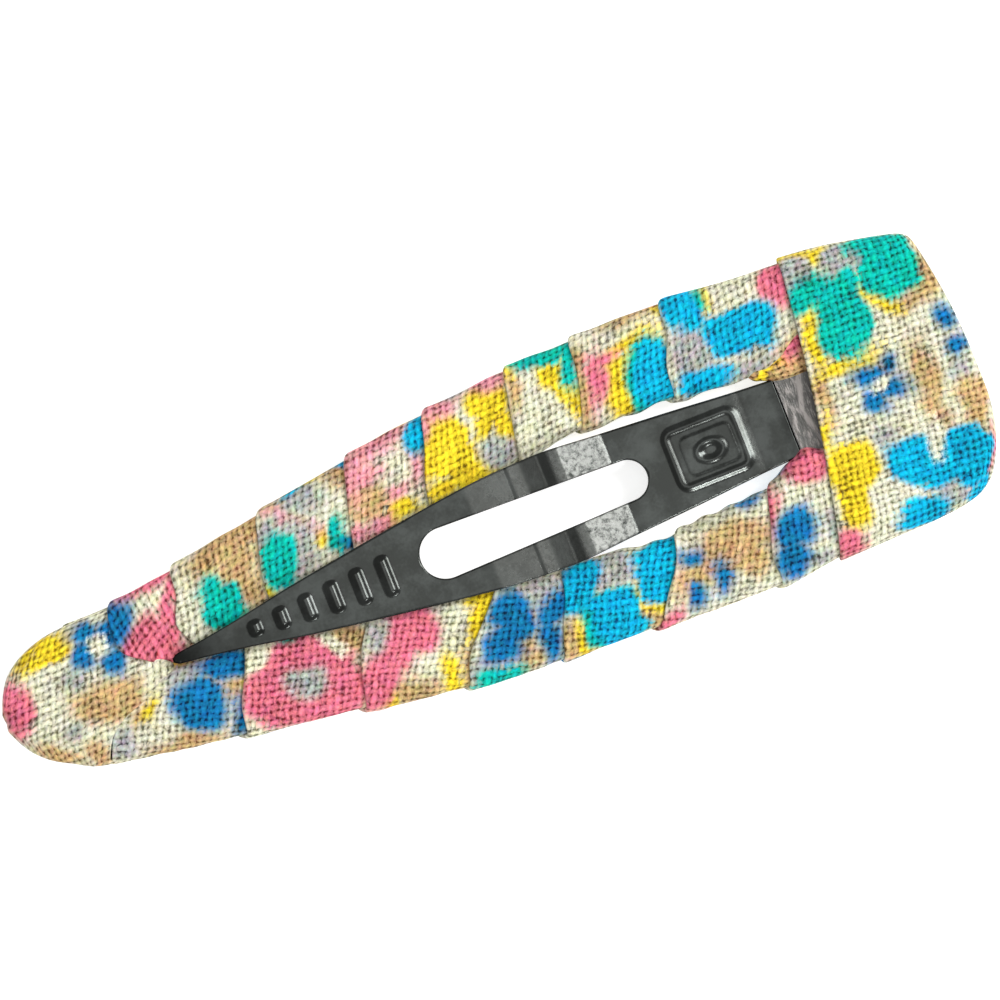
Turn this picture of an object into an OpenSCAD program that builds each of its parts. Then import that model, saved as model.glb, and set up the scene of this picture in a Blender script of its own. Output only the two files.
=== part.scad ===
// Snap hair clip: a sprung steel stamping whose two legs are wound with printed cloth.
// It lies on its front face, tongue up, closed.
// +X runs to the wide end, +Y to the upper leg, +Z to the back face that carries the tongue.
// The origin is under the middle of the clip's length and width, on the surface that it lies on.

/* [Overall] */
// Length over the cloth
clip_l = 60; // [50:1:75]
// Width over the proudest turns of cloth
clip_w = 18.4; // [16.5:0.1:24]
// How far the two ends rise above the middle of the bow
arch_rise = 2.4; // [1:0.1:4]

/* [Steel] */
// Thickness of the spring steel
steel_t = 0.5; // [0.3:0.05:0.7]
// Tongue, from its root bend to its tip
tongue_l = 38; // [33:0.5:39]
// Tongue at its widest
tongue_w = 6.8; // [5.8:0.1:8]
// Slot in the tongue, end to end
slot_l = 14.1; // [10:0.1:15]
// Slot at its wide end, towards the tip
slot_w = 3; // [1.6:0.1:3.4]
// Slot at its narrow end, towards the root
slot_end_w = 2.4; // [1.2:0.1:3]
// Height of the pressed ridges
emboss_h = 0.2; // [0.1:0.01:0.28]
// Pressed panel near the root, along the clip
panel_l = 5.1; // [4:0.1:5.4]
// Pressed panel near the root, across the clip
panel_w = 4.2; // [3:0.1:4.4]
// Width of the ridge round the pressed panel
ridge_w = 0.5; // [0.3:0.05:0.7]
// Length of the small oval inside the pressed panel
oval_l = 1.9; // [1.4:0.1:2.2]
// Number of plain grip ribs pressed across the tongue
rib_count = 6; // [3:1:7]
// Distance from one grip rib to the next
rib_pitch = 1.65; // [1.2:0.05:1.8]
// Width of a grip rib
rib_w = 0.6; // [0.3:0.05:0.8]

/* [Cloth] */
// Wall of the wound cloth where a turn is thinnest
cloth_t = 0.5; // [0.4:0.05:0.8]
// How far the leading edge of a turn stands proud of the turn before it
turn_step = 0.25; // [0.1:0.05:0.4]
// How far the end cover stands proud of the turns
cap_step = 0.1; // [0:0.05:0.3]

/* [Clearances] */
// Between a flat side of the steel and the cloth
flat_gap = 0.08; // [0.04:0.01:0.2]
// Between an edge of the steel and the cloth
side_gap = 0.2; // [0.1:0.05:0.4]
// Between one piece of cloth and the next
cloth_gap = 0.15; // [0.1:0.05:0.3]
// Between the closed tongue and the cloth under it
tongue_gap = 0.2; // [0.1:0.05:0.5]
// Between the widest part of the tongue and the legs
tongue_side_gap = 0.55; // [0.3:0.05:1]
// Between the rounded root of the tongue and the frame
root_gap = 0.12; // [0.06:0.01:0.25]

/* [Hidden] */

// Points round a section of cloth, steps between two rows of a smoothed table, and steps
// along the bowed frame
ring_n = 18;
steps = 4;
frame_steps = 30;

// Corner radius of a narrow rounded shape, as a share of its width
corner_share = 0.45;

// Heights from the middle plane of the steel: cavity, thinnest cloth, proud cloth, end cover
cavity_half = steel_t / 2 + flat_gap;
valley_half = cavity_half + cloth_t;
proud_half = valley_half + turn_step;
cover_half = proud_half + cap_step;
steel_inset = cloth_t + side_gap;
cover_wall = cover_half - cavity_half;

// The bow is one arc along the clip, lowest at bow_x, and its cloth touches the ground there
bow_share = 0.57;
bow_x = (bow_share - 0.5) * clip_l;
bow_r = (pow(clip_l / 2, 2) + pow(arch_rise, 2)) / (2 * arch_rise);
mid_z = proud_half;

// Root of the tongue, and the opening between the legs at its widest
root_share = 0.806;
root_x = (root_share - 0.5) * clip_l;
gap_w = tongue_w + 2 * tongue_side_gap;

// Half of the slit between the legs where they run side by side to the narrow end
join_half = turn_step + cloth_gap / 2;

// Outer edges of the wound legs.
// Columns: place along the clip, upper leg, lower leg. Shares of clip_l and of half of clip_w.
OUTER = [
    [0.078, 0.465, 0.475],
    [0.150, 0.505, 0.570],
    [0.204, 0.573, 0.625],
    [0.300, 0.690, 0.725],
    [0.398, 0.812, 0.845],
    [0.485, 0.900, 0.920],
    [0.573, 0.965, 0.945],
    [0.660, 0.992, 0.975],
    [0.745, 1.000, 1.000],
    [0.810, 0.965, 0.965],
    [0.860, 0.955, 0.960]
];

// Inner edges of the wound legs, round the opening.
// Columns: place along the clip, upper leg, lower leg. Shares of clip_l and of the way from
// join_half to half of gap_w.
INNER = [
    [0.090, 0.000, 0.000],
    [0.210, 0.020, 0.020],
    [0.333, 0.290, 0.290],
    [0.500, 0.710, 0.710],
    [0.555, 0.855, 0.850],
    [0.605, 0.950, 0.930],
    [0.670, 0.900, 1.000],
    [0.735, 0.850, 0.900],
    [0.775, 0.765, 0.850],
    [0.800, 0.710, 0.665],
    [0.850, 0.665, 0.665]
];

// Leading edges of the turns between the two covers, from the narrow end on.
// Columns: place at the opening, place at the outer edge. Shares of clip_l.
UPPER_TURNS = [
    [0.185, 0.204],
    [0.275, 0.300],
    [0.367, 0.398],
    [0.452, 0.485],
    [0.550, 0.573],
    [0.618, 0.643],
    [0.713, 0.740]
];
LOWER_TURNS = [
    [0.250, 0.207],
    [0.367, 0.323],
    [0.493, 0.425],
    [0.555, 0.522],
    [0.672, 0.618],
    [0.772, 0.745]
];

// Rings of one turn. Columns: place between two leading edges, share of turn_step.
TURN = [
    [0.000, 1.00],
    [0.350, 0.62],
    [0.700, 0.28],
    [0.980, 0.00]
];

// Cover of the narrow end, from its open edge to the tip. Columns: upper along, upper out,
// lower along, lower out, share of the full thickness. Shares of clip_l and of half of clip_w.
TIP_ROWS = [
    [0.135, 0.462, 0.078, 0.487, 1.00],
    [0.095, 0.458, 0.062, 0.450, 1.00],
    [0.066, 0.445, 0.047, 0.392, 1.00],
    [0.038, 0.388, 0.027, 0.310, 0.97],
    [0.018, 0.297, 0.014, 0.222, 0.85],
    [0.007, 0.190, 0.006, 0.135, 0.62],
    [0.000, 0.080, 0.000, 0.045, 0.25]
];

// Cover of the wide end, from its open edge to the end. Same columns.
END_ROWS = [
    [0.858, 0.966, 0.808, 0.975, 1.00],
    [0.900, 0.937, 0.867, 0.960, 1.00],
    [0.938, 0.888, 0.917, 0.947, 1.00],
    [0.970, 0.838, 0.953, 0.907, 1.00],
    [0.981, 0.802, 0.973, 0.825, 0.97],
    [0.986, 0.742, 0.985, 0.700, 0.88],
    [0.992, 0.545, 0.994, 0.545, 0.72],
    [0.997, 0.305, 0.999, 0.370, 0.50],
    [1.000, 0.065, 1.000, 0.195, 0.22]
];

// Tongue seen from above. Columns: place from the root, half width.
// Shares of tongue_l and of half of tongue_w.
TONGUE_EDGE = [
    [0.000, 0.706],
    [0.062, 0.750],
    [0.167, 0.845],
    [0.286, 0.935],
    [0.365, 0.998],
    [0.418, 0.985],
    [0.484, 0.940],
    [0.589, 0.795],
    [0.694, 0.625],
    [0.800, 0.440],
    [0.879, 0.275],
    [0.950, 0.150],
    [0.992, 0.090],
    [1.000, 0.040]
];

// Tongue seen from the side: root step, two crimps over the slot, then the long flat tip.
// Columns: place from the root, height above the bowed frame. Shares of tongue_l and lift.
TONGUE_RISE = [
    [0.000, 0.00],
    [0.014, 0.00],
    [0.055, 0.34],
    [0.075, 0.38],
    [0.268, 0.62],
    [0.337, 1.30],
    [0.363, 1.10],
    [0.397, 1.28],
    [0.463, 1.10],
    [0.740, 1.17],
    [0.895, 1.08],
    [1.000, 1.00]
];
lift = proud_half + tongue_gap + steel_t / 2;

// Places on the tongue, as shares of tongue_l from the root
slot_share = 0.224;
panel_share = 0.125;
rib_share = 0.649;

// Length of a grip rib as a share of the tongue's width there, corner radius of the panel as a
// share of its width, and width of the oval as a share of its length
rib_w_share = 0.5;
panel_r_share = 0.143;
oval_ratio = 0.74;
root_w = TONGUE_EDGE[0][1] * tongue_w;

// Straight, smoothed and mirrored readings of a table
function between(a, b, t) = a + (b - a) * t;
function row_of(t, x, i = 0) = i >= len(t) - 2 || x < t[i + 1][0] ? i : row_of(t, x, i + 1);
function slope(t, i, c) =
    let (a = max(i - 1, 0), b = min(i + 1, len(t) - 1))
    (t[b][c] - t[a][c]) / (t[b][0] - t[a][0]);
function curve(t, x, c) =
    let (
        i = row_of(t, x),
        h = t[i + 1][0] - t[i][0],
        u = (x - t[i][0]) / h,
        v = 1 - u
    )
    t[i][c] * v * v * (1 + 2 * u) + t[i + 1][c] * u * u * (1 + 2 * v)
        + h * u * v * (v * slope(t, i, c) - u * slope(t, i + 1, c));
function fine(t) = [
    for (i = [0 : len(t) - 2]) for (k = [0 : steps - 1]) between(t[i][0], t[i + 1][0], k / steps),
    t[len(t) - 1][0]
];
function reversed(list) = [for (i = [len(list) - 1 : -1 : 0]) list[i]];

// Places in the clip's own frame
function along(share) = (share - 0.5) * clip_l;
function arch(x) = mid_z + bow_r - sqrt(pow(bow_r, 2) - pow(x - bow_x, 2));
function outer_edge(share, side) =
    [along(share), side * (curve(OUTER, share, side > 0 ? 1 : 2) * clip_w / 2 - turn_step)];
function inner_edge(share, side) =
    [along(share), side * between(join_half, gap_w / 2, curve(INNER, share, side > 0 ? 1 : 2))];
function cover_point(row, side) =
    side > 0 ? [along(row[0]), row[1] * clip_w / 2] : [along(row[2]), -row[3] * clip_w / 2];

// One section of cloth: a flat strip with round edges that stands on the line from a to b
function ring(a, b, grow, half_t) =
    let (
        dir = (b - a) / norm(b - a),
        reach = grow * norm(b - a) / abs(b[1] - a[1]),
        r = min(half_t, norm(b - a) * corner_share),
        ends = [b + dir * (reach - r), a - dir * (reach - r)]
    )
    [
        for (k = [0 : 1]) for (j = [0 : ring_n / 2 - 1])
            let (
                turn = -90 + 180 * j / (ring_n / 2 - 1) + 180 * k,
                p = ends[k] + dir * r * cos(turn)
            )
            [p[0], p[1], arch(p[0]) + half_t * sin(turn)]
    ];

// Middle of the ring that closes an end
function centre_of(points) =
    [for (c = [0 : 2]) [for (p = points) p[c]] * [for (p = points) 1] / len(points)];

// Faces of a wall between rings, of the rim between two rings, and of a closed end
function wall_faces(first, count, way) = [
    for (i = [0 : count - 2]) for (j = [0 : ring_n - 1])
        let (
            a = first + i * ring_n + j,
            b = first + i * ring_n + (j + 1) % ring_n,
            quad = [[a, b, b + ring_n], [a, b + ring_n, a + ring_n]]
        )
        for (face = quad) way > 0 ? face : reversed(face)
];
function rim_faces(outer, inner, way) = [
    for (j = [0 : ring_n - 1])
        let (
            k = (j + 1) % ring_n,
            quad = [[outer + j, inner + j, inner + k], [outer + j, inner + k, outer + k]]
        )
        for (face = quad) way > 0 ? face : reversed(face)
];
function fan_faces(first, centre, way) = [
    for (j = [0 : ring_n - 1])
        let (face = [first + j, first + (j + 1) % ring_n, centre])
        way > 0 ? face : reversed(face)
];

// A hollow wall of cloth through two lists of rings, closed at its far end or open at both
module hollow(outside, inside, closed, way) {
    out_last = (len(outside) - 1) * ring_n;
    in_first = len(outside) * ring_n;
    in_last = in_first + (len(inside) - 1) * ring_n;
    middle = in_last + ring_n;
    polyhedron(
        points = concat(
            [for (r = outside) each r],
            [for (r = inside) each r],
            [centre_of(outside[len(outside) - 1]), centre_of(inside[len(inside) - 1])]
        ),
        faces = concat(
            wall_faces(0, len(outside), way),
            wall_faces(in_first, len(inside), -way),
            rim_faces(0, in_first, way),
            closed
                ? concat(fan_faces(out_last, middle, way), fan_faces(in_last, middle + 1, -way))
                : rim_faces(out_last, in_last, -way)
        )
    );
}

// Leading edges of a leg's turns with its two ends, which follow the open edges of the covers
function cover_edge(rows, y) =
    let (low = cover_point(rows[0], -1), up = cover_point(rows[0], 1))
    0.5 + between(low[0], up[0], (y - low[1]) / (up[1] - low[1])) / clip_l;
function leg_end(rows, side, gap) =
    let (
        inner_y = inner_edge(cover_edge(rows, 0), side)[1],
        outer_at = side > 0 ? rows[0][0] : rows[0][2]
    )
    [cover_edge(rows, inner_y) + gap / clip_l, outer_at + gap / clip_l];
function leg_turns(side) = concat(
    [leg_end(TIP_ROWS, side, cloth_gap)],
    side > 0 ? UPPER_TURNS : LOWER_TURNS,
    [leg_end(END_ROWS, side, -cloth_gap)]
);

// Rings of a wound leg. The leading edge of each turn stands proud and the turn then thins
// out to where the next one covers it.
function turn_ring(turns, i, f, side, grow, half_t) =
    ring(
        inner_edge(between(turns[i][0], turns[i + 1][0], f), side),
        outer_edge(between(turns[i][1], turns[i + 1][1], f), side),
        grow, half_t
    );
module wound_leg(side) {
    turns = leg_turns(side);
    last = len(turns) - 2;
    outside = [
        for (i = [0 : last]) for (row = TURN)
            turn_ring(turns, i, row[0], side, turn_step * row[1], valley_half + turn_step * row[1]),
        turn_ring(turns, last, 1, side, 0, valley_half)
    ];
    inside = [
        for (i = [0 : last]) for (row = TURN) if (row[1] > 0)
            turn_ring(turns, i, row[0], side, -cloth_t, cavity_half),
        turn_ring(turns, last, 1, side, -cloth_t, cavity_half)
    ];
    hollow(outside, inside, false, -side);
}

// Edges of the whole clip from the narrow end to the wide end, and their copies moved inwards.
// The covers stand proud of the legs, so their part of an edge moves further.
function leg_side(turns, side) = [
    for (i = [0 : len(turns) - 2]) for (row = TURN)
        if (row[1] > 0 && i + row[0] > 0)
            outer_edge(between(turns[i][1], turns[i + 1][1], row[0]), side)
];
function clip_side(side) = concat(
    [for (row = reversed(TIP_ROWS)) cover_point(row, side)],
    leg_side(leg_turns(side), side),
    [for (row = END_ROWS) cover_point(row, side)]
);
function inset(points, side, leg_d, cover_d) =
    let (last = len(points) - 1)
    [
        for (i = [0 : last])
            let (
                before = i == 0 ? [points[0][0], 0] : points[i - 1],
                after = i == last ? [points[last][0], 0] : points[i + 1],
                dir = (after - before) / norm(after - before),
                covered = i < len(TIP_ROWS) || i > last - len(END_ROWS)
            )
            points[i] + side * (covered ? cover_d : leg_d) * [dir[1], -dir[0]]
    ];
upper_side = clip_side(1);
lower_side = clip_side(-1);

// Rings of an end cover, and of the cavity inside it
function cover_rings(rows) =
    [for (row = rows) ring(cover_point(row, -1), cover_point(row, 1), 0, cover_half * row[4])];
function cover_cavity(rows, from_end) =
    let (
        up = inset(upper_side, 1, cloth_t, cover_wall),
        low = inset(lower_side, -1, cloth_t, cover_wall)
    )
    [
        for (i = [0 : len(rows) - 1])
            let (
                u = from_end ? len(up) - len(rows) + i : len(rows) - 1 - i,
                l = from_end ? len(low) - len(rows) + i : len(rows) - 1 - i
            )
            i == 0
                ? ring(cover_point(rows[0], -1), cover_point(rows[0], 1), -cover_wall, cavity_half)
                : ring(low[l], up[u], 0, cavity_half)
    ];

// A plate of steel that follows a line of heights along the clip, and shapes cut from above
module sheet(line, raise = 0) {
    low = raise - steel_t / 2;
    rotate([90, 0, 0])
        linear_extrude(height = clip_w, center = true)
            polygon(concat(
                [for (p = line) [p[0], p[1] + low]],
                [for (p = reversed(line)) [p[0], p[1] + low + steel_t]]
            ));
}
module from_above() {
    linear_extrude(height = clip_w, center = true) children();
}
module round_rect(l, w, r) {
    square([l - 2 * r, w], center = true);
    square([l, w - 2 * r], center = true);
    for (x = [-1, 1], y = [-1, 1])
        translate([x * (l / 2 - r), y * (w / 2 - r)]) circle(r = r, $fn = 32);
}

// Lines of heights of the frame and of the tongue
frame_line = [for (i = [0 : frame_steps]) let (x = along(i / frame_steps)) [x, arch(x)]];
function tongue_x(share) = root_x - share * tongue_l;
tongue_line = [
    for (s = fine(TONGUE_RISE)) [tongue_x(s), arch(tongue_x(s)) + lift * curve(TONGUE_RISE, s, 1)]
];

// Opening in the steel, wider than the wound one by the cloth, and the stub that it leaves
// for the tongue to bend up from
module opening() {
    rows = fine(INNER);
    stub_x = root_x + steel_t / 2 + root_gap;
    difference() {
        polygon(concat(
            [for (s = rows) inner_edge(s, 1) + [0, steel_inset]],
            [for (s = reversed(rows)) inner_edge(s, -1) - [0, steel_inset]]
        ));
        translate([stub_x, -root_w / 2]) square([clip_l / 2 - stub_x, root_w]);
    }
}

// The ring of the stamping, inside the cloth
module steel_frame() {
    color([0.26, 0.26, 0.25])
        intersection() {
            sheet(frame_line);
            from_above() difference() {
                polygon(concat(
                    inset(upper_side, 1, steel_inset, cover_wall + side_gap),
                    reversed(inset(lower_side, -1, steel_inset, cover_wall + side_gap))
                ));
                opening();
            }
        }
}

// The tongue and the pressed work on it, all in one thickness of sheet
module tongue_outline() {
    edge = [for (s = fine(TONGUE_EDGE)) [tongue_x(s), curve(TONGUE_EDGE, s, 1) * tongue_w / 2]];
    polygon(concat(edge, [for (p = reversed(edge)) [p[0], -p[1]]]));
}
module slot() {
    near_r = slot_end_w / 2;
    far_r = slot_w / 2;
    near_x = tongue_x(slot_share) - near_r;
    far_x = tongue_x(slot_share) - slot_l + far_r;
    translate([near_x, 0]) circle(r = near_r, $fn = 48);
    translate([far_x, 0]) circle(r = far_r, $fn = 48);
    polygon([[near_x, near_r], [far_x, far_r], [far_x, -far_r], [near_x, -near_r]]);
}
module pressed() {
    inner_l = panel_l - 2 * ridge_w;
    inner_w = panel_w - 2 * ridge_w;
    translate([tongue_x(panel_share), 0]) {
        difference() {
            round_rect(panel_l, panel_w, panel_w * panel_r_share);
            round_rect(inner_l, inner_w, inner_w * panel_r_share);
        }
        round_rect(oval_l, oval_l * oval_ratio, oval_l * oval_ratio * corner_share);
    }
    for (i = [0 : rib_count - 1]) {
        x = tongue_x(rib_share) - i * rib_pitch;
        half = curve(TONGUE_EDGE, (root_x - x) / tongue_l, 1) * tongue_w / 2;
        translate([x, 0]) round_rect(rib_w, max(2 * half * rib_w_share, rib_w), rib_w * corner_share);
    }
}
module tongue() {
    color([0.32, 0.32, 0.31]) {
        difference() {
            intersection() {
                sheet(tongue_line);
                from_above() difference() {
                    tongue_outline();
                    slot();
                }
            }
            intersection() {
                sheet(tongue_line, emboss_h - steel_t);
                from_above() pressed();
            }
        }
        intersection() {
            sheet(tongue_line, emboss_h);
            from_above() pressed();
        }
        translate([root_x, 0, arch(root_x)])
            rotate([90, 0, 0]) cylinder(r = steel_t / 2, h = root_w, center = true, $fn = 32);
    }
}

module upper_leg_wrap() {
    color([0.93, 0.62, 0.6]) wound_leg(1);
}
module lower_leg_wrap() {
    color([0.35, 0.6, 0.75]) wound_leg(-1);
}
module tip_cover() {
    color([0.9, 0.87, 0.72]) hollow(cover_rings(TIP_ROWS), cover_cavity(TIP_ROWS, false), true, 1);
}
module end_cover() {
    color([0.2, 0.7, 0.62]) hollow(cover_rings(END_ROWS), cover_cavity(END_ROWS, true), true, -1);
}

steel_frame();
tongue();
upper_leg_wrap();
lower_leg_wrap();
tip_cover();
end_cover();
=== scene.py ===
# Snap hair clip: two cloth-wound legs, two cloth covers and a pressed steel tongue.
# Lengths are in millimetres until a mesh is made. X runs to the wide end and Z to the tongue.
import math
import bmesh
import bpy
import numpy as np
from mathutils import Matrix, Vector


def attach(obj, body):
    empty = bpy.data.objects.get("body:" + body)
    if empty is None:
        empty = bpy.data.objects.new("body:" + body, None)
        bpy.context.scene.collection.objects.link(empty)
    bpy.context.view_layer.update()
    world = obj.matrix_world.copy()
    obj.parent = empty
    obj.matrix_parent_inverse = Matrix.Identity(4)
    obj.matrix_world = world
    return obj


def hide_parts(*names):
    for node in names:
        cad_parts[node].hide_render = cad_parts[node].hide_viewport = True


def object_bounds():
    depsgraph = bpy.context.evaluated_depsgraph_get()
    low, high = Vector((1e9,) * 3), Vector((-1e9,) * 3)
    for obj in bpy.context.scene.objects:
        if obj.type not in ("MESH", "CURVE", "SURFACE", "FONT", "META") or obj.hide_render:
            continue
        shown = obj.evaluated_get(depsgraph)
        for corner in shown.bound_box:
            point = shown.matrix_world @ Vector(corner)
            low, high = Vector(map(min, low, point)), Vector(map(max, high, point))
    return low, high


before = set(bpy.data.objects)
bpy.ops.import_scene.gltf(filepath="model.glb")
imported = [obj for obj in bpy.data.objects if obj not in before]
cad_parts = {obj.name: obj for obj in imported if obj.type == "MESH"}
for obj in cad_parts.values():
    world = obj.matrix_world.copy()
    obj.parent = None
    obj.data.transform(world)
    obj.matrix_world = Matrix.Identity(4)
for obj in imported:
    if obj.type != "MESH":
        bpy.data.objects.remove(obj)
cadLow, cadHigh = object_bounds()
mm = 0.001
print("frame loaded, CAD box", [round(v / mm, 2) for v in (*cadLow, *cadHigh)])

clip = {
    "length": (cadHigh.x - cadLow.x) / mm,
    "width": 18.4,          # over the proudest turns
    "archRise": 2.4,        # of the ends above the middle of the bow
    "bowShare": 0.57,       # lowest place of the bow along the clip
    "midHeight": 1.08,      # middle of the steel above the floor at that place
    "steelHalf": 0.25,
    "clothHalf": 0.83,      # middle of the steel to the cloth where a turn is thinnest
    "turnStep": 0.25,       # how proud a turn's folded edge lies
    "slitHalf": 0.325,      # half of the slit where the legs run side by side
    "openHalf": 3.95,       # half of the opening at its widest
}
bowAt = (clip["bowShare"] - 0.5) * clip["length"]
halfWidth = clip["width"] / 2
bowRadius = ((clip["length"] / 2) ** 2 + clip["archRise"] ** 2) / (2 * clip["archRise"])

# Outer edges of the legs: place along the clip, upper leg, lower leg
outerEdges = [
    (0.078, 0.465, 0.485), (0.15, 0.505, 0.57), (0.204, 0.573, 0.625), (0.3, 0.69, 0.725),
    (0.398, 0.812, 0.845), (0.485, 0.9, 0.92), (0.573, 0.965, 0.945), (0.66, 0.992, 0.975), (0.745, 1, 1),
    (0.81, 0.965, 0.965), (0.86, 0.955, 0.96),
]
# Inner edges of the legs round the opening, the same columns
innerEdges = [
    (0.09, -0.08, -0.08), (0.166, -0.08, -0.08), (0.178, 0, 0), (0.21, 0.02, 0.02), (0.333, 0.29, 0.29),
    (0.5, 0.71, 0.71), (0.555, 0.855, 0.85), (0.605, 0.95, 0.93), (0.67, 0.9, 1), (0.735, 0.85, 0.9),
    (0.775, 0.77, 0.82), (0.8, 0.735, 0.6), (0.812, 0.725, 0.51), (0.822, 0.77, 0.52), (0.833, 0.87, 0.58),
    (0.848, 1.02, 0.62), (0.87, 1.08, 0.665),
]


def smooth(low, high, x):
    u = np.clip((x - low) / (high - low), 0, 1)
    return u * u * (3 - 2 * u)


# Smooth reading of a table's column, held level beyond its ends
def curve(table, where, column=1):
    rows = np.array(table, float)
    at, value = rows[:, 0], rows[:, column]
    each, last = np.arange(len(at)), len(at) - 1
    before, after = np.maximum(each - 1, 0), np.minimum(each + 1, last)
    slope = (value[after] - value[before]) / (at[after] - at[before])
    x = np.clip(where, at[0], at[last])
    i = np.clip(np.searchsorted(at, x, side="right") - 1, 0, last - 1)
    h = at[i + 1] - at[i]
    u = (x - at[i]) / h
    v = 1 - u
    ends = value[i] * v * v * (1 + 2 * u) + value[i + 1] * u * u * (1 + 2 * v)
    return ends + h * u * v * (v * slope[i] - u * slope[i + 1])


def archAt(x):
    return clip["midHeight"] + bowRadius - np.sqrt(bowRadius ** 2 - (x - bowAt) ** 2)


# Smooth unevenness from a few seeded waves, about -1 to 1
def ripple(seed, size, a, b, waves=7):
    rng = np.random.default_rng(seed)
    total = np.zeros(np.broadcast(a, b).shape)
    for _ in range(waves):
        turn, phase = rng.uniform(0, 2 * math.pi, 2)
        length = size * rng.uniform(0.6, 1.7)
        total = total + np.sin(2 * math.pi * (a * math.cos(turn) + b * math.sin(turn)) / length + phase)
    return total / math.sqrt(waves) / 1.4


def placed(name, data, spot=(0, 0, 0)):
    made = bpy.data.objects.new(name, data)
    made.location = [v * mm for v in spot]
    bpy.context.scene.collection.objects.link(made)
    return made


def makeObject(name, points, faces, material, attributes=None):
    mesh = bpy.data.meshes.new(name)
    mesh.from_pydata((np.asarray(points) * mm).tolist(), [], faces)
    mesh.update()
    mesh.materials.append(material)
    mesh.polygons.foreach_set("use_smooth", np.ones(len(mesh.polygons), bool))
    for key, value in (attributes or {}).items():
        kind, field = ("FLOAT_VECTOR", "vector") if value.ndim == 2 else ("FLOAT", "value")
        layer = mesh.attributes.new(key, kind, "POINT")
        layer.data.foreach_set(field, value.astype(np.float32).ravel())
    return placed(name, mesh)


# One row of three numbers for each point
def triples(*parts):
    return np.stack(parts, -1).reshape(-1, 3)


# Quads between neighbouring points of two runs
def ribbon(first, second, turned=False):
    quads = np.stack([first[:-1], second[:-1], second[1:], first[1:]], -1)
    return quads[..., ::-1] if turned else quads


# Quads of a grid whose rows are closed loops, and one face over each end
def tubeFaces(rows, count, flip=False):
    index = np.arange(rows * count).reshape(rows, count)
    quads = ribbon(index, np.roll(index, -1, 1)).reshape(-1, 4)
    faces = [*quads.tolist(), index[0, ::-1].tolist(), index[-1].tolist()]
    return [face[::-1] for face in faces] if flip else faces


# Shader maths. A Wire is one output of a node, and arithmetic on it adds Math nodes.
class Wire:
    def __init__(self, shader, socket):
        self.shader, self.socket = shader, socket

    def math(self, operation, *others):
        return self.shader.node("Math", {"operation": operation}, dict(enumerate((self, *others))))

    def __add__(self, other):
        return self.math("ADD", other)

    def __sub__(self, other):
        return self.math("SUBTRACT", other)

    def __rsub__(self, other):
        return self.shader.node("Math", {"operation": "SUBTRACT"}, {0: other, 1: self})

    def __mul__(self, other):
        return self.math("MULTIPLY", other)

    def __truediv__(self, other):
        return self.math("DIVIDE", other)

    __radd__ = __add__
    __rmul__ = __mul__


def linear(red, green, blue):
    parts = [c / 255 for c in (red, green, blue)]
    return (*[c / 12.92 if c <= 0.04045 else ((c + 0.055) / 1.055) ** 2.4 for c in parts], 1.0)


class Shader:
    def __init__(self, name, **constants):
        self.material = bpy.data.materials.new(name)
        self.material.use_nodes = True
        self.tree = self.material.node_tree
        self.surface = next(n for n in self.tree.nodes if n.type == "BSDF_PRINCIPLED")
        for key, value in constants.items():
            self.surface.inputs[key.replace("_", " ")].default_value = value

    # A node by its type: settings come first, then values or links for its sockets
    def node(self, kind, settings=None, inputs=None, output=0):
        made = self.tree.nodes.new("ShaderNode" + kind)
        for key, value in (settings or {}).items():
            setattr(made, key, value)
        for key, value in (inputs or {}).items():
            self.link(made.inputs[key], value)
        return Wire(self, made.outputs[output])

    def link(self, socket, value):
        if isinstance(value, Wire):
            self.tree.links.new(value.socket, socket)
        else:
            socket.default_value = value

    def feed(self, name, value):
        self.link(self.surface.inputs[name], value)

    def attribute(self, name, output="Fac"):
        return self.node("Attribute", {"attribute_name": name}, output=output)

    def blend(self, factor, first, second, how="MIX"):
        settings = {"data_type": "RGBA", "blend_type": how}
        return self.node("Mix", settings, {0: factor, 6: first, 7: second}, 2)

    # The colour times a number
    def shade(self, colour, amount):
        grey = self.node("CombineColor", None, {0: amount, 1: amount, 2: amount})
        return self.blend(1.0, colour, grey, "MULTIPLY")

    def noise(self, vector, scale, detail=2.0, roughness=0.5, output=0):
        sockets = {"Vector": vector, "Scale": scale, "Detail": detail, "Roughness": roughness}
        return self.node("TexNoise", None, sockets, output)

    # The first two parts of a vector
    def parts(self, vector):
        first = self.node("SeparateXYZ", None, {0: vector})
        return first, Wire(self, first.socket.node.outputs["Y"])

    def ease(self, value, low, high):
        sockets = {"Value": value, "From Min": low, "From Max": high}
        return self.node("MapRange", {"interpolation_type": "SMOOTHSTEP"}, sockets)

    def bump(self, height, strength, distance):
        return self.node("Bump", None, {"Strength": strength, "Distance": distance, "Height": height})


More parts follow.
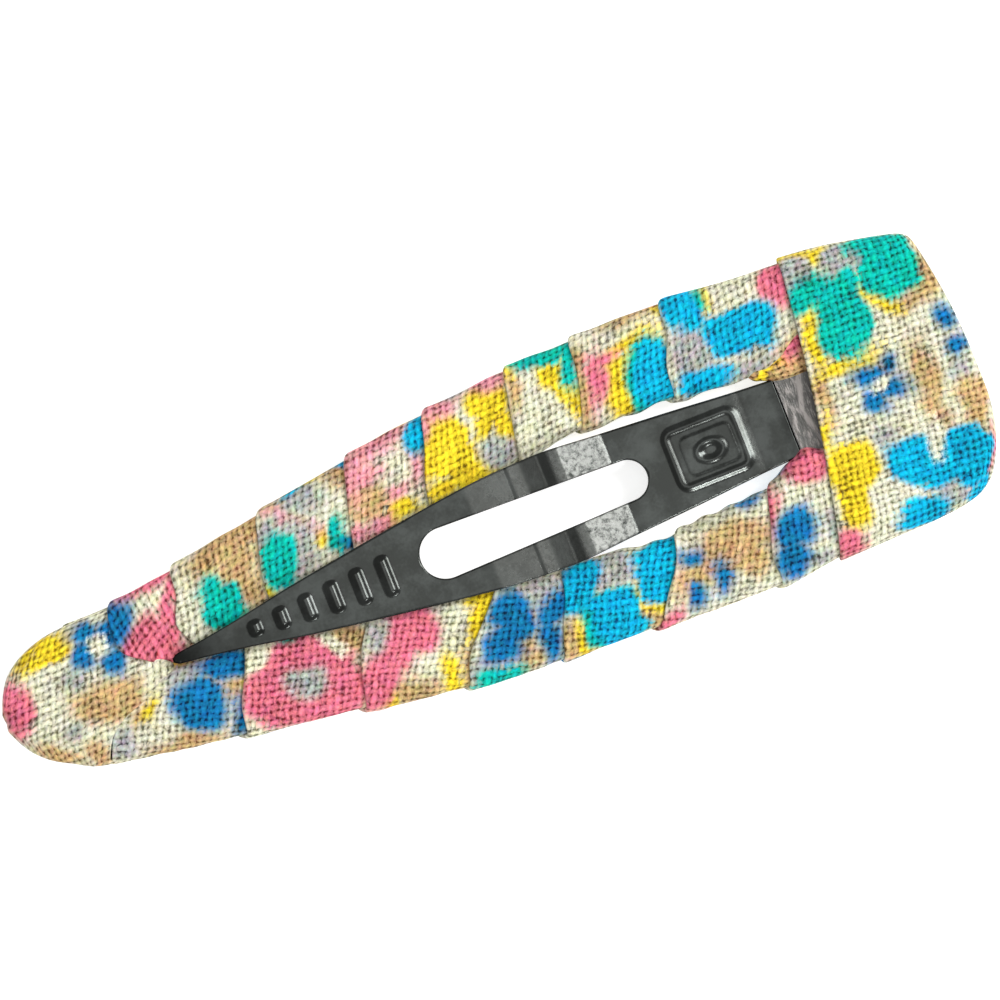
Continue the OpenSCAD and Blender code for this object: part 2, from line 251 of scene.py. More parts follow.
# Printed cotton: an open plain weave with a soft floral print. The attribute "threads" gives the
# place on the cloth, and one attribute for each ink gives how far inside its motifs a point lies.
cotton = {
    "pitch": 0.40,          # from thread to thread
    "wander": 1.1,          # how far threads stray slowly, and quickly, in threads
    "jolt": 0.55,
    "drift": 0.16,          # change of a thread's tone along it
    "crown": 0.5,           # rise of a thread that passes over another
    "warp": (0.80, 0.40),   # thickness, and how much it varies
    "weft": (0.62, 0.44),
    "fray": (0.7, 0.6),     # raggedness of the print, by thread and by fibre
    "speckle": 0.55,
    "gap": (0.10, 0.62),    # where a gap between threads begins and is full
    "gapShade": (0.56, 0.8),
    "relief": 0.08,
    "bleed": 0.09,          # how far an ink runs past its motif
    "ground": linear(226, 224, 196),
    "inks": {               # colour, and how softly it ends
        "tan": (linear(202, 170, 118), 0.42),
        "yellow": (linear(243, 213, 46), 0.30),
        "blush": (linear(234, 154, 162), 0.45),
        "pink": (linear(228, 118, 138), 0.40),
        "grey": (linear(174, 176, 170), 0.36),
        "teal": (linear(4, 186, 170), 0.26),
        "cyan": (linear(8, 176, 216), 0.26),
        "blue": (linear(18, 118, 172), 0.40),
        "bare": (linear(226, 224, 196), 0.24),
    },
}


def makeCotton():
    shader = Shader("printedCotton", Roughness=0.85, Specular_IOR_Level=0.12)
    place = shader.attribute("threads", "Vector")
    wanders = shader.parts(shader.noise(place, 0.7, 3.0, output="Color"))
    jolts = shader.parts(shader.noise(place, 2.6, 2.0, output="Color"))
    a, b = (part / cotton["pitch"] + wander * cotton["wander"] + jolt * cotton["jolt"]
            for part, wander, jolt in zip(shader.parts(place), wanders, jolts))
    waveA, waveB = (a * math.pi).math("SINE"), (b * math.pi).math("SINE")
    over = waveA * waveB * cotton["crown"]
    # Each thread has its own tone and thickness, which change slowly along it
    apart = 3.7             # between the tones of neighbouring threads
    warpPlace = {0: a * cotton["drift"], 1: b.math("FLOOR") * apart, 2: 0.0}
    weftPlace = {0: a.math("FLOOR") * apart, 1: b * cotton["drift"], 2: 9.0}
    warpTone = shader.noise(shader.node("CombineXYZ", None, warpPlace), 1.0, 1.0)
    weftTone = shader.noise(shader.node("CombineXYZ", None, weftPlace), 1.0, 1.0)
    overWarp, overWeft = waveB.math("ABSOLUTE"), waveA.math("ABSOLUTE")
    (warpThick, warpVaries), (weftThick, weftVaries) = cotton["warp"], cotton["weft"]
    warp = overWarp * (warpThick + warpTone * warpVaries) + over
    weft = overWeft * (weftThick + weftTone * weftVaries) - over
    height = warp.math("MAXIMUM", weft)
    onWarp = warp.math("GREATER_THAN", weft)
    tone = weftTone + onWarp * (warpTone - weftTone)
    fuzz = shader.noise(place, 4.6, 3.0, 0.8)
    cloud = shader.noise(place, 0.9, 3.0, 0.6)
    # The inks, ragged at the threads
    colour = cotton["ground"]
    byThread, byFibre = cotton["fray"]
    ragged = (tone - 0.5) * byThread + (fuzz - 0.5) * byFibre
    for name, (ink, softness) in cotton["inks"].items():
        depth = shader.attribute("ink_" + name) + ragged
        colour = shader.blend(shader.ease(depth, -softness, softness), colour, ink)
    speckle = shader.noise(place, 1.7, 4.0, 0.8, output="Color")
    colour = shader.blend(cotton["speckle"], colour, speckle, "OVERLAY")
    # Light on the crests of the threads, a deeper shade in the gaps between them
    crest = shader.ease(height, 0.85, 1.4)
    light = 0.78 + crest * 0.34 + (tone - 0.5) + (fuzz - 0.5) * 1.5 + (cloud - 0.5) * 0.3
    colour = shader.shade(colour, light)
    between = (1 - overWarp) * (1 - overWeft)
    between = between - (fuzz - 0.5) * 1.1 - (tone - 0.5) * 0.8 - (cloud - 0.5)
    gap = shader.ease(between, *cotton["gap"])
    darker, deeper = cotton["gapShade"]
    deep = shader.blend(deeper, shader.shade(colour, darker), colour, "MULTIPLY")
    shader.feed("Base Color", shader.blend(gap, colour, deep))
    relief = height * 0.8 - between * 0.5 + fuzz * 0.3
    shader.feed("Normal", shader.bump(relief, 0.55, cotton["relief"] * mm))
    return shader.material


# Spring steel: smooth dark gunmetal, a little mottled where it is bent. The tongue's bends carry a painted
# highlight, and its tip, creases and root bend carry painted shade.
steel = {
    "dark": linear(54, 56, 54),
    "light": linear(70, 73, 71),
    # lighter steel of the bends, rubbed and painted as if lit: a painted highlight
    "wearAndPaintedLight": linear(142, 144, 140),
    "haze": linear(176, 170, 166),  # old glue on the stub
    "bead": (19.6, 0.28),   # the line of glue: place along, how much it slants back
    "scuff": 5.2,
    "gloss": 0.15,
}


# The tongue's attribute of wear and painted light: above 0 the bends and facets are burnished rougher and
# painted lighter as a painted highlight, below 0 the tip, the creases and the root's bend get painted shade
def makeSteel(name, hazed):
    shader = Shader(name, Metallic=1.0)
    where = shader.node("TexCoord", output="Object")
    place = shader.node("VectorMath", {"operation": "SCALE"}, {0: where, "Scale": 1 / mm})
    cloud = shader.noise(place, 0.5, 3.0, 0.6)
    grain = shader.noise(place, 6.0, 4.0, 0.65)
    mottle = shader.ease(cloud + (grain - 0.5) * 0.4, 0.35, 0.7)
    colour = shader.blend(mottle, steel["dark"], steel["light"])
    rough = steel["gloss"] + cloud * 0.08 + grain * 0.06
    if hazed:
        stretched = shader.node("VectorMath", {"operation": "MULTIPLY"}, {0: place, 1: (2.6, 0.6, 1.0)})
        glue = shader.noise(stretched, 1.5, 6.0, 0.7)
        placeX, placeY = shader.parts(place)
        beadX, slant = steel["bead"]
        aside = placeX - beadX - placeY.math("ABSOLUTE") * slant
        bead = 1 - shader.ease(aside.math("ABSOLUTE") + (glue - 0.5) * 0.6, 0.05, 0.24)
        film = shader.ease(glue + bead * 0.16, 0.47, 0.66)
        colour = shader.blend(0.16 + film * 0.7, colour, steel["haze"])
        rough = rough + 0.12 + film * 0.2
        shader.feed("Metallic", 0.9 - film * 0.5)
        shader.feed("Normal", shader.bump(glue + grain * 0.15 + bead * 0.4, 0.6, 0.10 * mm))
    else:
        wearAndPaintedLight = shader.attribute("wearAndPaintedLight")
        bright, paintedShade = wearAndPaintedLight.math("MAXIMUM", 0.0), wearAndPaintedLight.math("MINIMUM", 0.0)
        scuff = shader.noise(place, 3.0, 6.0, 0.75)
        rubbedAndPaintedLight = wearAndPaintedLight * (0.72 + (scuff - 0.5) * steel["scuff"] * wearAndPaintedLight)
        # painted highlight: the lighter steel colour laid, scuffed, on the bends and facets that face the
        # lamps
        colour = shader.blend(rubbedAndPaintedLight.math("MINIMUM", 1.0).math("MAXIMUM", 0.0), colour, steel["wearAndPaintedLight"])
        # painted shade: the tip, the creases and the root's bend are made darker
        colour = shader.shade(colour, 1 + paintedShade * 0.6)
        height = grain * 0.2 + scuff * (0.4 + bright * 7)
        shader.feed("Normal", shader.bump(height, 0.30, 0.03 * mm))
        rough = rough + bright * 0.18
    shader.feed("Base Color", colour)
    shader.feed("Roughness", rough)
    return shader.material


cottonMaterial = makeCotton()
tongueMaterial = makeSteel("gunmetalSteel", False)
frameMaterial = makeSteel("gluedSteel", True)
print("materials made")


# Place in a turned oval's own directions, in its half lengths
def inOval(x, y, atX, atY, long, wide, turn=0):
    c, s = math.cos(math.radians(turn)), math.sin(math.radians(turn))
    return ((x - atX) * c + (y - atY) * s) / long, ((y - atY) * c - (x - atX) * s) / wide


# Motifs are soft ragged ovals, several to a petal or leaf. A table lists for each ink: place
# along, place across, half length, half width and, unless it is 0, turn in degrees.
def inkDepths(motifs, x, y):
    depths = {ink: np.full(x.shape, -1.0) for ink in cotton["inks"]}
    x, y = x + 0.24 * ripple(5, 2.2, x, y), y + 0.24 * ripple(6, 2.2, x, y)
    square = 2.4            # 2 would be a true oval
    for ink, rows in motifs.items():
        for row in rows:
            p, q = inOval(x, y, *row)
            inside = 1 - (np.abs(p) ** square + np.abs(q) ** square) ** (1 / square)
            depth = inside * min(row[2:4]) + cotton["bleed"]
            depths[ink] = np.maximum(depths[ink], np.clip(depth, -1, 1))
    return depths


# Loose repeat for what the photo doesn't show: seeded motifs are added over a rectangle
def scatter(motifs, seed, lowX, highX, lowY, highY):
    rng, inks = np.random.default_rng(seed), list(cotton["inks"])
    spread = {ink: list(motifs.get(ink, [])) for ink in inks}
    for x in np.arange(lowX, highX, 2.6):
        for y in np.arange(lowY, highY, 2.5):
            ink = inks[rng.integers(len(inks))]
            jogX, jogY = rng.uniform(-0.9, 0.9, 2)
            long = rng.uniform(0.9, 1.9)
            wide = long * rng.uniform(0.5, 0.8)
            spread[ink].append((x + jogX, y + jogY, long, wide, rng.uniform(0, 180)))
    return spread


# What the cotton shader reads at each point: depth in every ink, and place on the cloth
def clothMarks(depths, *threads):
    marks = {"ink_" + ink: depth.ravel() for ink, depth in depths.items()}
    return {**marks, "threads": triples(*threads)}


# A piece of cloth takes the place of its node
def makeCloth(name, piece, points, faces, marks):
    made = makeObject(name, points, faces, cottonMaterial, marks)
    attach(made, "frame")
    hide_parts(piece["node"])
    return made


# The wound legs. Each row gives where a turn's leading edge lies along the clip: at the near
# edge of the leg, a third and two thirds across, and at the far edge. Near is towards -Y.
# The first and last rows are hidden by the covers.
upperLeg = {
    "node": "upper_leg_wrap",
    "cut": (0.010, 0.100),  # of the flat strip, in metres
    "side": 1,
    "turns": [
        (-25.3, -25.2, -25.1, -25), (-20.2, -22.2, -22.4, -21.9), (-18.3, -18.8, -18.2, -17.8),
        (-13.5, -13.2, -12.75, -12), (-8, -7.35, -6.85, -6.1), (-2.9, -2.35, -1.65, -0.9),
        (3, 3.55, 3.9, 4.4), (7.1, 7.85, 8.25, 8.6), (12.8, 13.2, 13.9, 14.4), (21.5, 22, 22.3, 22.6),
        (23.2, 23.3, 23.4, 23.5),
    ],
    "proud": (0.3, 1, 0.9, 1.05, 0.95, 1.1, 1, 0.9, 1.05, 0.6, 0.5),
    "seed": 11,
    "lean": 22,             # of the strip, off square, in degrees
    # Creases: place along, place across, half length, half width, turn in degrees and height
    "folds": [
        (2.75, 6.2, 1.3, 0.22, 58, 0.15), (3.05, 5.95, 1.3, 0.16, 58, -0.14),
        (-8, 4.8, 1.6, 0.14, 68, -0.09), (-8.6, 4.6, 1.4, 0.14, 68, 0.07),
        (-14.2, 4.2, 1.5, 0.16, 62, 0.07), (-3.2, 4.2, 1.2, 0.15, 66, -0.07),
    ],
    # What shows of the turn below the last one: place along, inner edge
    "under": [
        (17.25, 3.35), (17.45, 2.95), (17.7, 2.66), (18.1, 2.52), (18.5, 2.34), (18.9, 2.16),
        (19.5, 2.06), (20.9, 2.05), (22.5, 2.2),
    ],
}
lowerLeg = {
    "node": "lower_leg_wrap",
    "cut": (0.011, 0.092),
    "side": -1,
    "turns": [
        (-25.5, -25.5, -25.4, -25.3), (-25.2, -24.6, -23.9, -23), (-17.6, -17, -16.2, -15.2),
        (-10.6, -9.95, -9.3, -7.9), (-4.5, -3.6, -2.1, -0.4), (1.3, 2, 2.75, 3.3), (7.1, 8.4, 9.5, 10.3),
        (14.7, 14.9, 15.5, 16.3), (20.8, 21.2, 21.6, 22), (23.2, 23.3, 23.4, 23.5),
    ],
    "proud": (0.2, 0.3, 1.05, 1.1, 1, 0.95, 1.1, 1, 0.6, 0.5),
    "seed": 23,
    "lean": 12,
    "folds": [
        (-9, -4, 0.9, 0.14, 24, -0.16), (-9, -3.65, 0.9, 0.25, 24, 0.1), (3.3, -6.2, 1.5, 0.24, 17, 0.18),
        (3.4, -6.58, 1.5, 0.16, 17, -0.16), (8, -6.4, 1.4, 0.2, 50, -0.07),
        (-3, -6.3, 1.2, 0.18, 50, 0.08),
    ],
}
strip = {
    "stepsPerTurn": 100,
    "across": 44,           # columns from a leading edge to the next
    "tuck": 0.4,            # share of the next turn that a turn runs under
    "hem": 0.24,            # thickness of the folded edge
    "sunk": 0.22,           # how far the way back lies under the turn
    "pucker": (0.09, 1.2),  # height and reach of the gathers at the legs' edges
    "uneven": 0.03,
    "limitX": (-25.5, 23.6),
}
# Height of a turn above the thinnest cloth: place between two leading edges, share of turnStep
turnProfile = [(0, 1), (0.04, 1.06), (0.12, 0.92), (0.35, 0.62), (0.7, 0.3), (0.98, 0), (1.4, -0.14)]


def legEdges(side, x):
    share = x / clip["length"] + 0.5
    column = 1 if side > 0 else 2
    outer = curve(outerEdges, share, column) * halfWidth - clip["turnStep"]
    inner = clip["slitHalf"] + (clip["openHalf"] - clip["slitHalf"]) * curve(innerEdges, share, column)
    return (inner, outer) if side > 0 else (-outer, -inner)


# A point on a leg's section: around runs from 0 at the near edge over the top to 1
def onLeg(side, x, around, rise):
    near, far = legEdges(side, x)
    r = clip["clothHalf"]
    quarter = r * math.pi / 2
    a, b = near + r, far - r
    flat = b - a
    girth = 2 * flat + 4 * quarter
    q = around * girth
    turnNear = math.pi - q / r
    turnFar = math.pi / 2 - (q - quarter - flat) / r
    turnBack = -math.pi / 2 - (q - 3 * quarter - 2 * flat) / r
    parts = [q < quarter, q < quarter + flat, q < 3 * quarter + flat, q < 3 * quarter + 2 * flat]
    out = r + rise
    y = np.select(parts, [a + out * np.cos(turnNear), a + q - quarter, b + out * np.cos(turnFar),
                          b - (q - 3 * quarter - flat)], a + out * np.cos(turnBack))
    z = np.select(parts, [out * np.sin(turnNear), out, out * np.sin(turnFar), -out], out * np.sin(turnBack))
    return y, z, a - quarter + q, girth


# All leading edges of a leg as one table: turn and share of the way round, place along
def edgeTable(leg):
    table, r = [], clip["clothHalf"]
    for turn, row in enumerate(leg["turns"]):
        for third, x in enumerate(row):
            near, far = legEdges(leg["side"], np.array(x))
            girth = 2 * (far - near - 2 * r) + 2 * math.pi * r
            q = r * math.pi / 2 + (far - near) * third / 3 - r
            around = (0, q / girth, q / girth, 0.5)[third]
            table.append((turn + float(around), x))
    return table


# The strip's own section: a rounded fold, the top, and the hidden way back
def stripSection():
    nose = np.radians(np.linspace(-80, 90, 8)[:-1])
    under = 1 + strip["tuck"]
    top = np.concatenate([np.linspace(0.022, 1, strip["across"]), np.linspace(1, under, 6)[1:]])
    return nose, top, np.linspace(under, 0.04, 9)


# Small gathers at both edges of a leg, faint unevenness all over, and the listed creases
def creased(leg, x, around, rise, fade):
    _, _, unrolled, girth = onLeg(leg["side"], x, around, 0 * x)
    toNear, toFar = np.minimum(around, 1 - around) * girth, np.abs(around - 0.5) * girth
    toInner, toOuter = (toNear, toFar) if leg["side"] > 0 else (toFar, toNear)
    high, reach = strip["pucker"]
    gather = np.exp(-(toInner / reach) ** 2) + 0.3 * np.exp(-(toOuter / reach) ** 2)
    gather = gather * ripple(leg["seed"], 1.7, x, 0.25 * unrolled)
    uneven = ripple(leg["seed"] + 1, 4.0, x, unrolled)
    rise = rise + fade * (high * gather + strip["uneven"] * uneven)
    for *oval, high in leg["folds"]:
        p, q = inOval(x, unrolled, *oval)
        rise = rise + fade * high * np.exp(-p * p - q * q)
    return rise


# A place on a leg, along and across the threads of a turn that lies at a slant
def byThreads(x, q, slant):
    return np.stack([x * np.sin(slant) + q * np.cos(slant), x * np.cos(slant) - q * np.sin(slant)], -1)


# Threads run along the turn on top, and pass over to the next turn's on the underside
def legThreads(leg, edges, last, x, turn, around, unrolled, girth):
    turns, slants, offsets = leg["turns"], [], np.zeros((last + 2, 2))
    for i in range(last + 2):
        pair = (turns[i:i + 2] * 2)[:2]
        near, far = legEdges(leg["side"], np.array(pair[0][1]))
        slants.append(math.atan2(sum(row[3] - row[0] for row in pair) / 2, far - near))
    for i in range(last + 1):
        midX = float(curve(edges, i + 0.75) + curve(edges, min(i + 1.75, last + 1.5))) / 2
        _, _, q, whole = onLeg(leg["side"], np.array(midX), np.array(0.75), 0.0)
        step = byThreads(midX, q, slants[i]) - byThreads(midX, q - whole, slants[i + 1])
        offsets[i + 1] = offsets[i] + step
    slants = np.array(slants)
    after = np.minimum(turn + 1, last + 1)
    over = smooth(0.6, 0.9, around)[..., None]
    threads = (offsets[turn] + byThreads(x, unrolled, slants[turn])) * (1 - over)
    threads = threads + (offsets[after] + byThreads(x, unrolled - girth, slants[after])) * over
    lean = math.radians(leg["lean"])
    pulled = threads[..., 0] * math.cos(lean) - threads[..., 1] * math.sin(lean)
    return pulled, threads[..., 1], 0 * x


# Each turn carries its own motifs, with the seeded repeat where it goes round underneath
def legInks(leg, motifs, last, x, turn, unrolled, girth):
    depths = {ink: np.full(x.shape, -1.0) for ink in cotton["inks"]}
    for i in range(last + 2):
        near, far = (float(edge) for edge in legEdges(leg["side"], np.array(leg["turns"][i][1])))
        lowX = leg["turns"][i][3]
        shown = motifs[i - 1] if 0 < i <= len(motifs) else {}
        both = scatter(shown, leg["seed"] * 10 + i, lowX - 1, lowX + 9, far + 2.4, far + (far - near) + 0.6)
        for here, q, table in ((turn == i, unrolled, both), (turn == i - 1, unrolled - girth, shown)):
            if here.any():
                for ink, depth in inkDepths(table, x[here], q[here]).items():
                    depths[ink][here] = np.maximum(depths[ink][here], depth)
    return depths


def makeLeg(name, leg, motifs):
    side, edges, last = leg["side"], edgeTable(leg), len(leg["turns"]) - 2
    rows = int((last + 0.5) * strip["stepsPerTurn"]) + 1
    travel = np.linspace(0.5, last + 1 - 1e-6, rows)
    nose, top, back = stripSection()
    v = np.concatenate([0 * nose, top, back])
    fold = strip["hem"] / 2
    shift = np.concatenate([fold - fold * np.cos(nose), 0 * top, 0 * back])
    step = clip["turnStep"] * curve(list(enumerate(leg["proud"])), travel)[:, None]
    backRise = step * curve(turnProfile, back) - strip["sunk"]
    backRise[:, back < strip["tuck"] + 0.02] = 0.012
    rise = [step * (0.5 + 0.5 * np.sin(nose)), step * curve(turnProfile, top), backRise]
    start, end = curve(edges, travel)[:, None], curve(edges, travel + 1)[:, None]
    x = np.clip(start + v * (end - start) + shift, *strip["limitX"])
    turn = np.floor(travel)[:, None] + 0 * x
    around = travel[:, None] - turn
    onTop = (v < 1.02) & (np.arange(len(v)) < len(nose) + len(top))
    rise = creased(leg, x, around, np.concatenate(rise, 1), smooth(0, 0.12, v) * onTop)
    y, z, unrolled, girth = onLeg(side, x, around, rise)
    points = triples(x, y, np.maximum(archAt(x) + z, 0))
    turn = turn.astype(int)
    depths = legInks(leg, motifs, last, x, turn, unrolled, girth)
    marks = clothMarks(depths, *legThreads(leg, edges, last, x, turn, around, unrolled, girth))
    faces = tubeFaces(*x.shape, flip=True)
    if "under" in leg:
        morePoints, moreFaces, more = underTurn(leg["under"])
        faces += [[k + len(points) for k in face] for face in moreFaces]
        points = np.concatenate([points, morePoints])
        marks = {key: np.concatenate([value, more[key]]) for key, value in marks.items()}
    return makeCloth(name, leg, points, faces, marks)


underMotifs = {
    "tan": [(19.2, 3.2, 2.8, 1.5)], "yellow": [(18.4, 2.8, 0.6, 0.2, 20), (19.4, 3.2, 0.4, 0.3)],
    "pink": [(20.7, 3.95, 1.15, 0.5, 38)],
}


def underTurn(table):
    x = np.linspace(table[0][0], table[-1][0], 70)[:, None]
    near, far = curve(table, x), 5.4
    half = 0.62 * smooth(-0.5, 0.8, x - table[0][0]) + 0.02
    angle, back = np.radians(np.linspace(90, 270, 14)), np.radians(np.linspace(-90, 90, 6))
    flat = np.linspace(0, 1, 20)[1:-1]
    wide = (far - near - 2 * half) * flat
    y = [near + half + half * np.cos(angle), near + half + wide,
         far - half + half * np.cos(back), far - half - wide]
    z = [half * np.sin(angle), -half + 0 * flat, half * np.sin(back), half + 0 * flat]
    y, z = np.concatenate(y, 1), np.concatenate(z, 1)
    x = x + 0 * y
    z = z * (1 + 0.08 * ripple(41, 1.6, x, y))
    marks = clothMarks(inkDepths(underMotifs, x, y), x, y + 0.7 * z, 0 * x + 3.0)
    return triples(x, y, archAt(x) + z), tubeFaces(*x.shape, flip=True), marks


# What the photo shows on each turn, from the narrow end on
upperMotifs = [
    {"pink": [(-19.6, 4.97, 2, 0.5, 12), (-20.7, 1.38, 1.8, 1.4, 35), (-18.8, 2.86, 1.9, 0.4, 70),
      (-19.9, 0.57, 1.2, 0.8)], "blue": [(-21.9, 3.24, 1.3, 0.75, 70)]},
    {"teal": [(-16, 1.83, 1.25, 1.3, 80), (-16.3, 3.03, 0.8, 0.65, 45)],
     "tan": [(-14.6, 5.21, 2.5, 1, 20), (-14.3, 3.61, 1.6, 0.9, 60), (-14.1, 2.41, 0.6, 1.1),
      (-12.9, 5.69, 1, 0.8, 20)]},
    {"teal": [(-12.05, 3.08, 1.55, 1.1, 80), (-8.3, 2.64, 0.6, 0.5, 30), (-8.1, 3.64, 0.7, 0.35, 75)],
     "grey": [(-12.1, 4.88, 0.9, 0.45, 20), (-10.5, 3.37, 1.6, 0.8, 75), (-9.4, 6.05, 1, 0.6)],
     "blush": [(-10.3, 4.86, 1.25, 0.42, -38)],
     "yellow": [(-9.2, 3.45, 0.5, 0.45), (-13.3, 1.65, 0.45, 0.3), (-8.7, 7.05, 0.7, 0.4, 10)],
     "tan": [(-6.9, 6.73, 0.9, 0.7, 60), (-10.9, 6.47, 0.8, 0.3, 10)], "blue": [(-7.7, 2.33, 0.45, 0.35)],
     "cyan": [(-9.7, 6.81, 0.6, 0.15, 8), (-6.5, 7.52, 0.5, 0.3, 10)]},
    {"blush": [(-6.2, 6.32, 1.6, 0.7, 70), (-4.3, 7.4, 2, 0.75, 12), (-5.5, 5.91, 0.9, 0.6),
      (-6.9, 2.93, 1, 0.45), (-5.7, 3.01, 0.7, 0.5), (-2.4, 5.38, 0.8, 0.3, 75),
      (-3.9, 4.39, 0.6, 0.3, 20)], "tan": [(-6.1, 4.52, 1.2, 0.95), (-4.7, 4.2, 0.7, 0.4)],
     "yellow": [(-4.4, 3.2, 1.1, 0.55)], "cyan": [(-1.75, 7.17, 1.2, 0.55, 75)]},
    {"blush": [(-0.2, 8.05, 1.4, 0.55, 8), (-1.3, 7.26, 0.6, 0.4, 60), (3.2, 8.61, 1.1, 0.55)],
     "yellow": [(-0.6, 5.86, 1.9, 1.35, 75), (0.2, 4.45, 1.4, 1.2, 60), (-1.7, 5.17, 0.9, 0.5, 75),
      (2.7, 7.12, 1.3, 1, 75), (3.2, 5.71, 1.1, 0.55, 78), (2.1, 6.13, 0.7, 0.5, 60), (1, 3.54, 0.8, 0.5),
      (-1.4, 3.57, 1.1, 0.4, 10)], "grey": [(2.3, 4.22, 0.85, 0.8)], "tan": [(-2.6, 4.18, 0.4, 0.8)]},
    {"teal": [(6.5, 8.88, 1.6, 0.75, -4), (7.9, 7.96, 1.4, 0.4, 75)],
     "yellow": [(6.9, 7.47, 0.9, 0.8), (7.2, 6.17, 1.5, 0.55, -72), (4.7, 8.8, 0.6, 0.35, 45),
      (7.5, 8.47, 0.5, 0.5)], "tan": [(4.3, 7.3, 0.4, 0.9)]},
    {"tan": [(12.2, 9.02, 1.4, 0.4), (8.3, 7.36, 0.6, 0.6), (8.1, 5.56, 1.8, 0.55, 78)],
     "pink": [(9.2, 6.05, 1.3, 0.42, 72), (9.9, 7.14, 0.7, 0.35)],
     "yellow": [(10.2, 5.34, 1.8, 0.75, 78), (11.6, 7.22, 1.6, 0.6, 12), (10.1, 4.04, 0.7, 0.6),
      (13.9, 9, 0.4, 0.5)], "teal": [(12.1, 5.12, 2.3, 1.4, 75)],
     "cyan": [(12.35, 5.11, 2, 1.2, 75), (13.3, 4.1, 0.8, 0.8)]},
    {"cyan": [(15.1, 8.58, 1.25, 0.95, 80), (15.6, 7.18, 0.6, 0.6), (18.1, 5.75, 2.1, 1.4, -5),
      (15, 3.79, 1.5, 0.7, -10)], "yellow": [(16.65, 8.47, 1, 0.3, 78)],
     "teal": [(16.25, 8.37, 1, 0.35, 78)], "pink": [(20.8, 7.62, 1.3, 0.85, 80)],
     "grey": [(14.8, 5.79, 1.6, 0.95, 62), (17.5, 3.56, 1.5, 0.4), (15.4, 4.98, 0.7, 0.5)],
     "tan": [(19.9, 3.63, 0.9, 0.5, 30)]},
]
lowerMotifs = [
    {"blue": [(-16.8, -1.32, 1.8, 0.9, -8), (-19.2, -3.04, 1.6, 1.45), (-17.2, -4.66, 1.1, 0.55, 65)],
     "grey": [(-19.5, -1.24, 1.1, 0.7, 20), (-24.1, -3.38, 0.7, 0.8)],
     "tan": [(-16.9, -2.96, 0.7, 0.6), (-20.8, -4.92, 2, 0.6, -6), (-22.6, -2.2, 0.7, 0.4, 40)],
     "yellow": [(-16.3, -3.17, 0.5, 0.35, 70), (-22, -2.11, 0.8, 0.4, 45), (-19.4, -0.34, 0.7, 0.3)]},
    {"pink": [(-14.6, -3.79, 2.3, 1.9, 25), (-12.6, -5.21, 2.7, 1.5, -10), (-12.9, -2.51, 2.1, 1.4),
      (-11, -4.63, 1.3, 1.7)], "grey": [(-13, -4.01, 1.15, 0.85)],
     "tan": [(-9.6, -2.64, 1.3, 0.8, -15), (-11.8, -6.72, 0.8, 0.3, -8)],
     "bare": [(-10.9, -2.33, 0.9, 0.4, -60), (-15.2, -1.48, 1, 0.3, 15)],
     "teal": [(-13.6, -1.1, 0.6, 0.3, -15)]},
    {"grey": [(-8.3, -3.06, 0.9, 0.6, 50)],
     "pink": [(-6.4, -3.38, 1.7, 1.5, -15), (-9, -5.35, 1.9, 1.1, 48), (-7.6, -4.57, 1, 0.7)],
     "yellow": [(-1.5, -3.33, 1.2, 0.6, -5), (-2.1, -4.33, 1.5, 0.55, 52), (-5.1, -6.99, 1.3, 0.5, 80),
      (-9, -6.85, 0.5, 0.7)],
     "tan": [(-7.4, -6.97, 1.7, 0.65, -10), (-8, -6.26, 0.9, 0.4), (-4.1, -7.1, 1.2, 0.35, 72)]},
    {"blue": [(-0.6, -4.64, 1.3, 1.15, 30), (-1.6, -6.23, 1.3, 1.05), (-0.3, -5.65, 0.9, 0.8),
      (1.9, -5.37, 1.1, 0.75, 15), (1.1, -7.06, 1.6, 0.6, 78)],
     "grey": [(1.5, -4.07, 1.4, 0.6, -10), (-3.4, -7.01, 0.6, 0.6)], "teal": [(-2.4, -8.02, 1.4, 0.55, -4)],
     "tan": [(-0.2, -6.65, 1.2, 0.5, 55), (-0.3, -7.65, 0.9, 0.5)],
     "yellow": [(0.25, -5.95, 0.5, 0.3, 50)]},
    {"cyan": [(3.7, -4.79, 1.7, 1.15, 50), (5.2, -7.21, 1.55, 1.6), (8.9, -4.65, 1.6, 1),
      (8.2, -5.84, 1.3, 1.2, 35)], "blue": [(2.2, -3.67, 0.7, 0.3)], "grey": [(5.9, -4.51, 1.2, 0.85, -10)],
     "yellow": [(4.4, -6.3, 1.1, 0.35, 20), (3.9, -3.69, 0.5, 0.3), (3, -7.88, 0.45, 1),
      (6.9, -6.43, 0.4, 0.6), (7.8, -7.34, 0.8, 0.4, -20)], "teal": [(5, -7.21, 1.8, 1.75)],
     "tan": [(2.2, -7.57, 0.8, 0.9), (7.1, -8.13, 0.5, 0.7)]},
    {"pink": [(7.9, -8.54, 0.9, 0.5, 20)],
     "blue": [(10.5, -5.47, 0.6, 0.5), (10, -7.86, 0.6, 0.6), (11.85, -7.18, 0.8, 0.5, 75),
      (14.7, -3.51, 0.6, 0.25)],
     "tan": [(12.6, -5.89, 2.7, 1.3, 10), (10.3, -6.76, 1.4, 0.7, 20), (13.9, -7.1, 0.9, 0.8)]},
    {"pink": [(18.6, -2.85, 1.35, 1.05, -20), (15.8, -4.72, 1.3, 0.35, 68)],
     "blue": [(16.7, -6.23, 1.4, 1.05, 30), (15.9, -7.82, 1.1, 0.8, 72)],
     "grey": [(17.3, -8.24, 0.9, 0.45), (19, -6.96, 0.4, 0.8)]},
]
upperCloth = makeLeg("upperLegCloth", upperLeg, upperMotifs)
lowerCloth = makeLeg("lowerLegCloth", lowerLeg, lowerMotifs)
print("legs wound", len(upperCloth.data.polygons), len(lowerCloth.data.polygons))

